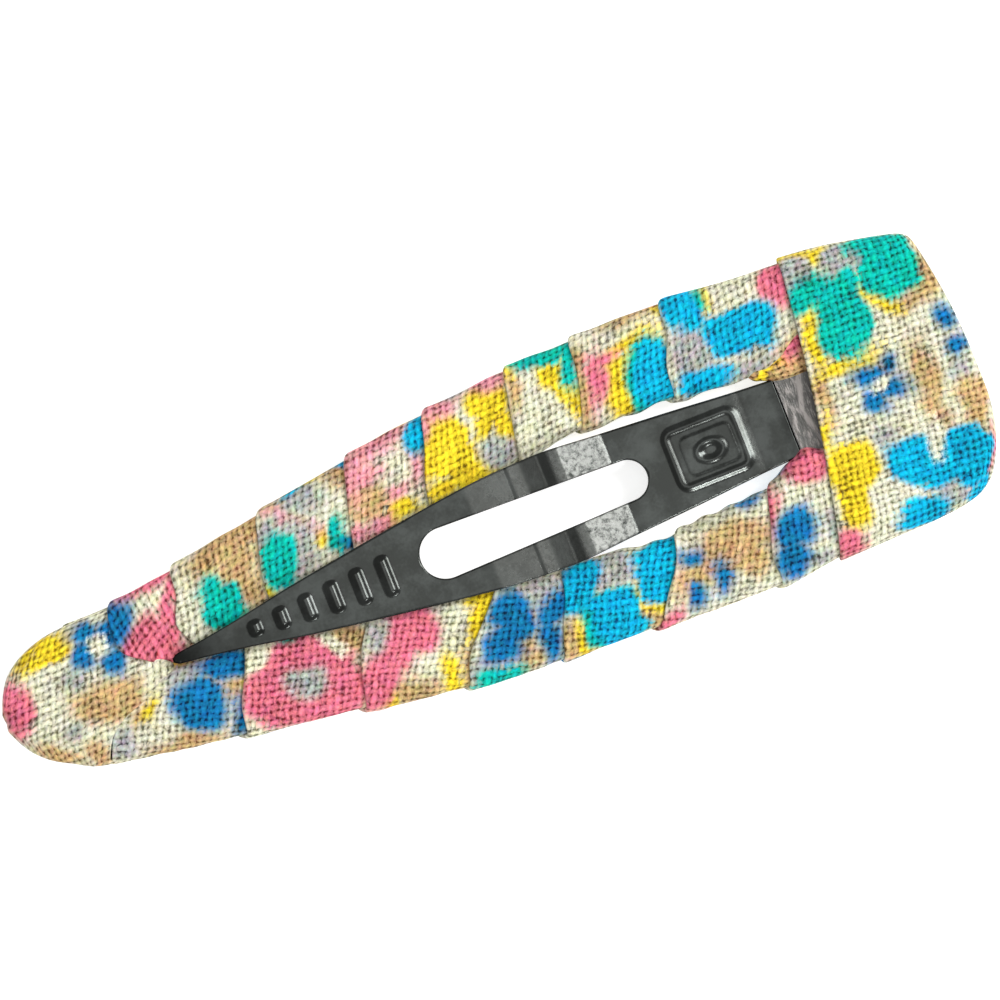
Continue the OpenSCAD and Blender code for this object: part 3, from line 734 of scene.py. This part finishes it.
# The covers. Rows from the open edge to the closed end: upper along, upper out, lower along,
# lower out, share of the full thickness.
tipCover = {
    "rows": [
        (0.135, 0.462, 0.078, 0.479, 1), (0.095, 0.458, 0.062, 0.45, 1), (0.066, 0.445, 0.047, 0.392, 1),
        (0.038, 0.388, 0.027, 0.31, 0.97), (0.018, 0.297, 0.014, 0.222, 0.85),
        (0.007, 0.19, 0.006, 0.135, 0.62), (0, 0.08, 0, 0.045, 0.14),
    ],
    "node": "tip_cover",
    "cut": (0.010, 0.018),
    "around": 150,          # points round the cover
    "along": 64,            # rows from the open edge to the closed end
    "half": 1.10,           # middle of the steel to the cloth
    "seed": 31, "end": -1,
    "lean": (-18, 2),       # how far the threads lie off the clip's directions, degrees
}
endCover = {
    "rows": [
        (0.858, 0.966, 0.808, 0.975, 1), (0.9, 0.937, 0.867, 0.96, 1), (0.938, 0.888, 0.917, 0.947, 1),
        (0.97, 0.838, 0.953, 0.907, 1), (0.981, 0.802, 0.973, 0.825, 0.97),
        (0.986, 0.742, 0.985, 0.7, 0.88), (0.992, 0.545, 0.994, 0.545, 0.72),
        (0.997, 0.305, 0.999, 0.37, 0.5), (1, 0.065, 1, 0.195, 0.12),
    ],
    "node": "end_cover",
    "cut": (0.0125, 0.036),
    "around": 270, "along": 84, "half": 1.18,
    "seed": 37, "end": 1, "lean": (-10, -2.5),
}
covering = {
    "wall": 0.26,           # thickness at the open edge
    "insideRows": 14,
    "noseRows": 7,
    "uneven": 0.035,
    "underShare": 0.93,     # where on a wall the underside's print takes over
    "underAt": 2.15,        # and where that print begins, in half widths
}


# The outline as a table: way from the open edge, upper x and y, lower x and y, thickness
def coverTable(cover):
    rows = np.array(cover["rows"], float)
    upper = np.stack([(rows[:, 0] - 0.5) * clip["length"], rows[:, 1] * halfWidth], 1)
    lower = np.stack([(rows[:, 2] - 0.5) * clip["length"], -rows[:, 3] * halfWidth], 1)
    steps = np.hypot(*(np.diff(upper, axis=0) + np.diff(lower, axis=0)).T) / 2
    return np.column_stack([np.concatenate([[0], np.cumsum(steps)]), upper, lower, rows[:, 4]])


def makeCover(name, cover, motifs, shape):
    table = coverTable(cover)
    length = table[-1, 0]
    # Every row: way from the open edge, and how far inside the outer face it lies
    inside = np.linspace(length * 0.97, 0, covering["insideRows"])
    nose = np.radians(np.linspace(-90, 90, covering["noseRows"] + 2)[1:-1])
    outside, fold = np.linspace(0, length, cover["along"]), covering["wall"] / 2
    rowAt = np.concatenate([inside, fold - fold * np.cos(nose), outside + fold * (1 - outside / length)])
    inward = np.concatenate([0 * inside + covering["wall"], fold - fold * np.sin(nose), 0 * outside])
    up, down = (np.stack([curve(table, rowAt, i), curve(table, rowAt, i + 1)], 1) for i in (1, 3))
    half = (curve(table, rowAt, 5) * cover["half"] - inward)[:, None]
    span = np.hypot(*(up - down).T)[:, None]
    chordX, chordY = np.split((up - down) / span, 2, axis=1)
    r = np.minimum(half, span * 0.45)
    flat = np.maximum(span - 2 * r - 2 * inward[:, None], 0.02)
    # Around: from the middle of the underside, up the lower edge, over the top and back
    wall = math.pi * r
    q = np.linspace(0, 1, cover["around"], endpoint=False) * (2 * flat + 2 * wall)
    lowTurn = -math.pi / 2 - (q - flat / 2) / r
    highTurn = math.pi / 2 - (q - 1.5 * flat - wall) / r
    parts = [q < flat / 2, q < flat / 2 + wall, q < 1.5 * flat + wall, q < 1.5 * flat + 2 * wall]
    place = [-q, -flat / 2 + r * np.cos(lowTurn), q - wall - flat, flat / 2 + r * np.cos(highTurn)]
    place = np.select(parts, place, flat / 2 - (q - 1.5 * flat - 2 * wall))
    tall = np.select(parts, [-1, np.sin(lowTurn), 1, np.sin(highTurn)], -1)
    centreX, centreY = np.split((up + down) / 2, 2, axis=1)
    x, y = centreX + chordX * place, centreY + chordY * place
    away = rowAt[:, None] + 0 * x
    move, lift = shape(place / (span / 2), smooth(-0.2, 0.6, tall), away)
    x, z = x + move, tall * half + lift * tall
    uneven = ripple(cover["seed"], 4.5, x, y + 3 * tall)
    z = z + covering["uneven"] * uneven * np.abs(tall) * smooth(0, 0.8, away)
    points = triples(x, y, archAt(x) + z)
    # Place on the cloth: flat on top, unrolled down the walls, and flat again underneath
    past = place - np.clip(place, -flat / 2, flat / 2)
    s, t = x - chordX * past, y - chordY * past
    hidden = len(inside) + len(nose)
    for edge, way, drop in ((up, 1, q - 1.5 * flat - wall), (down, -1, flat / 2 + wall - q)):
        along = np.gradient(edge[hidden:], axis=0)
        along = np.concatenate([np.tile(along[0], (hidden, 1)), along])
        along = along / np.hypot(*along.T)[:, None] * way * cover["end"]
        drop = np.clip(drop, 0, wall)
        s, t = s - along[:, 1:] * drop, t + along[:, :1] * drop
        under = drop > covering["underShare"] * wall
        s, t = np.where(under, x, s), np.where(under, covering["underAt"] * halfWidth - y, t)
    # The seeded repeat fills the underside, the far wall and the closed end
    lowX, highX = float(x.min()), float(x.max())
    beyond = (highX + 2.4, highX + 4.4) if cover["end"] > 0 else (lowX - 4.4, lowX - 2.4)
    motifs = scatter(motifs, cover["seed"], lowX, highX, halfWidth + 2.6, 3.2 * halfWidth)
    motifs = scatter(motifs, cover["seed"] + 1, lowX, highX, -halfWidth - 5, -halfWidth - 2.4)
    motifs = scatter(motifs, cover["seed"] + 2, *beyond, -halfWidth, halfWidth)
    leanS, leanT = np.radians(cover["lean"])
    threads = s * np.cos(leanS) + t * np.sin(leanS), t * np.cos(leanT) - s * np.sin(leanT), 0 * s + 5.0
    marks = clothMarks(inkDepths(motifs, s, t), *threads)
    faces = tubeFaces(*x.shape, flip=cover["end"] > 0)
    return makeCloth(name, cover, points, faces, marks)


# The tip cover has a pointed flap over the lower leg and goes under the upper leg's first turn
tipFlap = [
    (-1, 0), (-0.8, 0.05), (-0.62, 0.25), (-0.455, 0.95), (-0.34, 2.1), (-0.18, 3.1), (-0.08, 3.9),
    (0.02, 3.7), (0.2, 2.4), (0.6, 1), (1, 0.6),
]


def shapeTip(across, onTop, away):
    near = np.exp(-away / 2.2) * smooth(8, 4, away)
    move = near * (onTop * curve(tipFlap, across) + (1 - onTop) * (2.0 - 1.4 * across))
    tuck = smooth(-0.1, 0.35, across) * onTop * np.exp(-(away / 3.5) ** 2)
    raised = smooth(0.1, -0.15, across) * onTop * np.exp(-(away / 3.0) ** 2)
    return move, 0.12 * raised - 0.32 * tuck


# The end cover's open edge bows a little towards the wide end
def shapeEnd(across, onTop, away):
    near = np.exp(-away / 2.5) * smooth(9, 5, away)
    return 0.38 * near * (1 - across ** 2), 0 * away


tipMotifs = {
    "yellow": [(-28, 3.06, 0.8, 0.5, 30), (-25.9, 3.33, 1, 0.85), (-27, 2.75, 1, 0.3, 10)],
    "tan": [(-27, 3.65, 0.8, 0.6, 10), (-24.1, -0.88, 2, 1.1, -12), (-23, -0.4, 0.9, 0.5),
     (-28, -2.64, 1.4, 0.55, -38), (-25.6, -3.47, 0.7, 0.8), (-22.3, -1.8, 0.9, 0.4, 25)],
    "pink": [(-29.1, 0.67, 1.45, 1, 90)],
    "blue": [(-24, 3.31, 0.8, 0.65, -35), (-24.45, 2.12, 0.7, 0.65, 60), (-22.85, 1.35, 0.85, 0.6, 60),
     (-22.7, 2.85, 0.85, 0.5, -35)], "bare": [(-23.35, 2.46, 0.4, 0.35)],
    "grey": [(-25.5, 1.03, 0.5, 0.4), (-26.5, -1.76, 0.5, 0.4)],
}
endMotifs = {
    "yellow": [(22, 8.71, 1.1, 0.4, -8), (23.6, 8.29, 0.8, 0.5), (21.7, 3.71, 1.6, 0.55, 82),
     (23, 1.6, 1.7, 0.5, 4), (22.3, 5.5, 0.7, 0.35, 20), (25.5, 5.07, 0.6, 0.35, -60),
     (26.3, 4.16, 0.9, 0.4, -28), (20.4, -1.85, 0.6, 0.25, 80), (21.1, -3.98, 1.4, 1.35),
     (20.4, -6.07, 1.5, 0.8, 80)],
    "grey": [(21.9, 7.61, 0.9, 1), (24.9, 7.38, 1.15, 0.95), (26.1, -7.74, 1, 0.8), (23.5, -3.01, 0.7, 0.5),
     (28.9, -1.07, 0.6, 0.4)],
    "teal": [(22.3, 6.3, 1.4, 0.75, 25), (23.65, 4.19, 2.35, 1.5, 82), (24.4, 5.78, 0.9, 0.7, 30),
     (27.2, 5.85, 1.7, 1.65), (27.1, 7.55, 1.5, 0.7, -10), (28.5, 6.94, 0.9, 0.6, 20)],
    "tan": [(28.9, 4.63, 1.4, 0.75, 80), (27.9, 3.64, 0.9, 0.4), (21, 0.42, 1.6, 0.45, 82),
     (26.9, -1.25, 2.4, 0.7, 86), (29, -3.17, 1.6, 0.8, 80)],
    "blue": [(29.2, 2.03, 0.7, 0.65), (29.3, 0.33, 0.7, 0.6), (23.7, 0.64, 0.75, 0.6), (25, 0.78, 0.6, 0.6),
     (25.1, -0.63, 0.8, 0.6), (23.75, -1.01, 0.75, 0.7)],
    "bare": [(24.35, -0.2, 0.35, 0.3), (26.1, -4.34, 0.8, 0.35, 80)],
    "cyan": [(24.5, -5.02, 1.65, 1.25, -20), (27.4, -5.65, 1.6, 1.65), (25.9, -6.33, 1.3, 0.75),
     (28.5, -5.36, 0.9, 0.6, -45), (24.1, -8.22, 1.5, 0.85, -10), (28, -7.86, 1.1, 0.6, 40)],
    "pink": [(19.4, -8.36, 0.8, 0.9), (29.5, -5.57, 0.5, 0.6), (28.7, -6.77, 0.8, 0.2, 25)],
}
tipCloth = makeCover("tipCoverCloth", tipCover, tipMotifs, shapeTip)
endCloth = makeCover("endCoverCloth", endCover, endMotifs, shapeEnd)
print("covers made", len(tipCloth.data.polygons), len(endCloth.data.polygons))

# The tongue. Edge: place from the root, half width. Rise: place from the root, height in lifts.
tongue = {
    "length": 38.0, "half": 3.4, "rootX": 18.36, "lift": 1.53,
    "round": 0.09,          # of the edges
    "slotX": (-4.25, 9.85), "slotHalf": (1.5, 1.2),
    # Pressed work: place along, place across, length and width
    "panel": (13.65, 0.0, 4.95, 4.15), "inner": (13.8, -0.05, 3.6, 2.75), "oval": (13.8, -0.1, 1.9, 1.35),
    "ribX": -6.4, "ribPitch": 1.63, "ribs": 6,
    "emboss": 0.15,
    "capReach": 0.36,       # round end of the root about the hinge
    "rows": 340, "across": 36,
}
tongueEdge = [
    (0, 0.706), (0.062, 0.75), (0.167, 0.845), (0.286, 0.935), (0.365, 0.998), (0.418, 0.985),
    (0.484, 0.94), (0.589, 0.795), (0.694, 0.625), (0.8, 0.44), (0.879, 0.275), (0.95, 0.15), (0.992, 0.09),
    (1, 0.04),
]
tongueRise = [
    (0, 0), (0.012, 0.02), (0.049, 0.13), (0.062, 0.2), (0.27, 0.68), (0.34, 1.3), (0.355, 1.3),
    (0.373, 1.22), (0.402, 1.14), (0.422, 1.17), (0.491, 1.2), (0.56, 1.14), (0.74, 1.17), (0.895, 1.08),
    (1, 1),
]
# Burnish of the steel with painted highlight where above 0, painted shade where below 0: place along the
# clip, amount
tongueWearAndPaintedLight = [
    (-19.6, -1.4), (-18, -1.1), (-16, -0.4), (-8, -0.12), (-0.6, -0.05), (-0.3, 0.22), (2.15, 0.32),
    (2.25, -0.6), (2.35, 0.4), (3, 0.3), (3.1, 0.08), (4, 0.1), (4.1, 0.3), (4.2, 0.05), (4.75, 0.05),
    (4.85, 0.3), (5.35, 0.4), (5.45, 0.95), (7.95, 1), (8.2, 0), (15.95, 0), (16.1, 0.11), (16.4, 0.11),
    (16.6, -0.05), (18, -0.1), (18.35, -0.5), (18.7, -0.6),
]


# The bends of the tongue are straight between the table's rows, with a small round at each
def riseAt(share):
    spread = 0.004 * np.linspace(-1, 1, 7)
    return np.mean([np.interp(share + d, *np.array(tongueRise).T) for d in spread], 0)


# Depth inside a rounded rectangle, negative outside
def insideRect(x, y, box, corner):
    atX, atY, long, wide = box
    dx = np.abs(x - atX) - long / 2 + corner
    dy = np.abs(y - atY) - wide / 2 + corner
    outside = np.hypot(np.maximum(dx, 0), np.maximum(dy, 0))
    return corner - outside - np.minimum(np.maximum(dx, dy), 0)


# The slot's half width there, and how far past its straight sides the place lies
def slotSides(x):
    (farX, nearX), (farHalf, nearHalf) = tongue["slotX"], tongue["slotHalf"]
    share = np.clip((x - farX - farHalf) / (nearX - nearHalf - farX - farHalf), 0, 1)
    beyond = np.maximum(np.maximum(farX + farHalf - x, x - nearX + nearHalf), 0)
    return farHalf + (nearHalf - farHalf) * share, beyond


def pressed(x, y):
    panel = insideRect(x, y, tongue["panel"], 0.85)
    inner = insideRect(x, y, tongue["inner"], 0.65)
    ovalX, ovalY, ovalLong, ovalWide = tongue["oval"]
    oval = np.hypot((x - ovalX) / ovalLong * 2, (y - ovalY) / ovalWide * 2)
    height = smooth(0.0, 0.36, panel) * 0.74 - smooth(0.40, 0.66, panel) * 0.42
    height = height + smooth(0.04, 0.38, inner) * 0.36 - smooth(0.46, 0.90, inner) * 0.12
    height = height + np.exp(-((oval - 0.85) / 0.24) ** 2) * 0.6 - smooth(0.7, 0.3, oval) * 0.4
    for i in range(tongue["ribs"]):
        ribX = tongue["ribX"] - i * tongue["ribPitch"]
        half = curve(tongueEdge, (tongue["rootX"] - ribX) / tongue["length"]) * tongue["half"]
        rib = insideRect(x, y, (ribX, 0.0, 0.95, max(1.1 * half, 0.9)), 0.4)
        height = height + 1.3 * smooth(0, 0.40, rib)
    return height * tongue["emboss"]


def makeTongue():
    root, tip = tongue["rootX"], tongue["rootX"] - tongue["length"]
    # Rows lie closer at the slot's ends and round the root
    ends = [where + way * 0.6 * np.linspace(0, 1, 16) ** 2 for where, way in zip(tongue["slotX"], (1, -1))]
    cap = root + tongue["capReach"] * np.sin(np.radians([22, 40, 48, 56, 64, 72, 80, 89]))
    x = np.unique(np.round(np.concatenate([np.linspace(tip, root, tongue["rows"]), *ends, cap]), 5))
    share = np.clip((root - x) / tongue["length"], 0, 1)
    half = curve(tongueEdge, share) * tongue["half"]
    capHalf = np.sqrt(np.maximum(tongue["capReach"] ** 2 - np.maximum(x - root, 0) ** 2, 0.0009))
    thick = np.minimum(clip["steelHalf"], capHalf)[:, None]
    sides, beyond = slotSides(x)
    slot = np.sqrt(np.maximum(sides ** 2 - beyond ** 2, 0))
    # Each half goes from the slot, or the middle line, to the outer edge
    f = np.linspace(0, 1, tongue["across"])[1:-1] * 0.96 + 0.02
    f = np.concatenate([[0, 0.012], f, [0.988, 1]])
    y = slot[:, None] + (half - slot)[:, None] * f
    y = np.concatenate([-y[:, ::-1], y], 1)
    x, half, sides, beyond = (v[:, None] for v in (x, half, sides, beyond))
    line = archAt(np.minimum(x, root)) + tongue["lift"] * riseAt(share)[:, None]
    edge = np.minimum(half - np.abs(y), np.hypot(beyond, y) - sides)
    edge = tongue["round"] - np.clip(edge, 0, tongue["round"])
    bevel = tongue["round"] - np.sqrt(np.maximum(tongue["round"] ** 2 - edge ** 2, 0))
    x, line, thick = x + 0 * y, line + pressed(x, y), np.maximum(thick - bevel, 0.02)
    points = np.concatenate([triples(x, y, line + way * thick) for way in (1, -1)])
    (rows, columns), mid = y.shape, y.shape[1] // 2
    top = np.arange(y.size).reshape(rows, columns)
    below = top + y.size
    solid = np.arange(columns - 1) != mid - 1
    isOpen = np.maximum(slot[:-1], slot[1:]) > 1e-6
    flats = ribbon(top[:-1].T, top[1:].T).swapaxes(0, 1)[:, solid].reshape(-1, 4)
    faces = [np.stack([flats, flats[:, [0, 3, 2, 1]] + y.size], 1).reshape(-1, 4)]
    faces += [ribbon(top[:, j], below[:, j], j > 0) for j in (0, columns - 1)]
    faces += [ribbon(top[:, j], below[:, j], j < mid)[isOpen] for j in (mid - 1, mid)]
    faces += [ribbon(top[i], below[i], i > 0)[solid] for i in (0, rows - 1)]
    faces = np.concatenate(faces).tolist()
    wearAndPaintedLight = np.interp(points[:, 0], *np.array(tongueWearAndPaintedLight).T)
    made = makeObject("pressedTongue", points, faces, tongueMaterial, {"wearAndPaintedLight": wearAndPaintedLight})
    # The two halves meet along the middle outside the slot
    work = bmesh.new()
    work.from_mesh(made.data)
    bmesh.ops.remove_doubles(work, verts=work.verts, dist=1e-7)
    bmesh.ops.recalc_face_normals(work, faces=work.faces)
    work.to_mesh(made.data)
    work.free()
    return made


tongueMesh = makeTongue()
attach(tongueMesh, "tongue")
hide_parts("tongue")
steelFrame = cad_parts["steel_frame"]
steelFrame.data.materials.clear()
steelFrame.data.materials.append(frameMaterial)
print("steel made", len(tongueMesh.data.polygons))

# The photo looks straight down on the back of the clip, which lies turned in the picture
view = {"rollDegrees": 21.6, "lens": 150.0, "across": 58.08, "aim": (1.324, 1.687, 3.0)}


def makeCamera():
    data = bpy.data.cameras.new("camera")
    data.lens, data.sensor_width = view["lens"], 36.0
    aimX, aimY, aimZ = view["aim"]
    away = view["across"] * view["lens"] / data.sensor_width
    camera = placed("camera", data, (aimX, aimY, aimZ + away))
    camera.rotation_euler = (0, 0, math.radians(-view["rollDegrees"]))
    data.clip_start, data.clip_end = 0.01, 5.0
    bpy.context.scene.camera = camera


# Soft light all round, a panel over the wide end that the bends of the steel catch, and a
# small lamp for the rims of the pressed work
studio = {
    "sky": 0.50,
    "lights": {             # place, size and power
        "panel": ((250, 30, 265), 130, 0.85),
        "lamp": ((70, -250, 290), 22, 0.40),
        "above": ((30, 0, 420), 220, 0.22),
    },
    "floorTone": 0.6,
    "floorGlow": 0.72,
    "floorHalf": 1500,
}


def makeLight():
    world = bpy.data.worlds.new("studio")
    world.use_nodes = True
    background = next(n for n in world.node_tree.nodes if n.type == "BACKGROUND")
    background.inputs["Color"].default_value = (1, 1, 1, 1)
    background.inputs["Strength"].default_value = studio["sky"]
    bpy.context.scene.world = world
    for name, (spot, size, power) in studio["lights"].items():
        data = bpy.data.lights.new(name, "AREA")
        data.size, data.energy = size * mm, power
        lamp = placed(name, data, spot)
        lamp.rotation_euler = lamp.location.to_track_quat("Z", "Y").to_euler()
    bpy.context.scene.view_settings.view_transform = "Standard"


def makeFloor():
    size, tone = studio["floorHalf"], studio["floorTone"]
    corners = [(-size, -size, 0), (size, -size, 0), (size, size, 0), (-size, size, 0)]
    shader = Shader("paleFloor", Base_Color=(tone, tone, tone, 1), Roughness=0.9,
                    Emission_Color=(1, 1, 1, 1), Emission_Strength=studio["floorGlow"])
    floor = makeObject("floor", corners, [[0, 1, 2, 3]], shader.material)


makeCamera()
makeLight()
makeFloor()
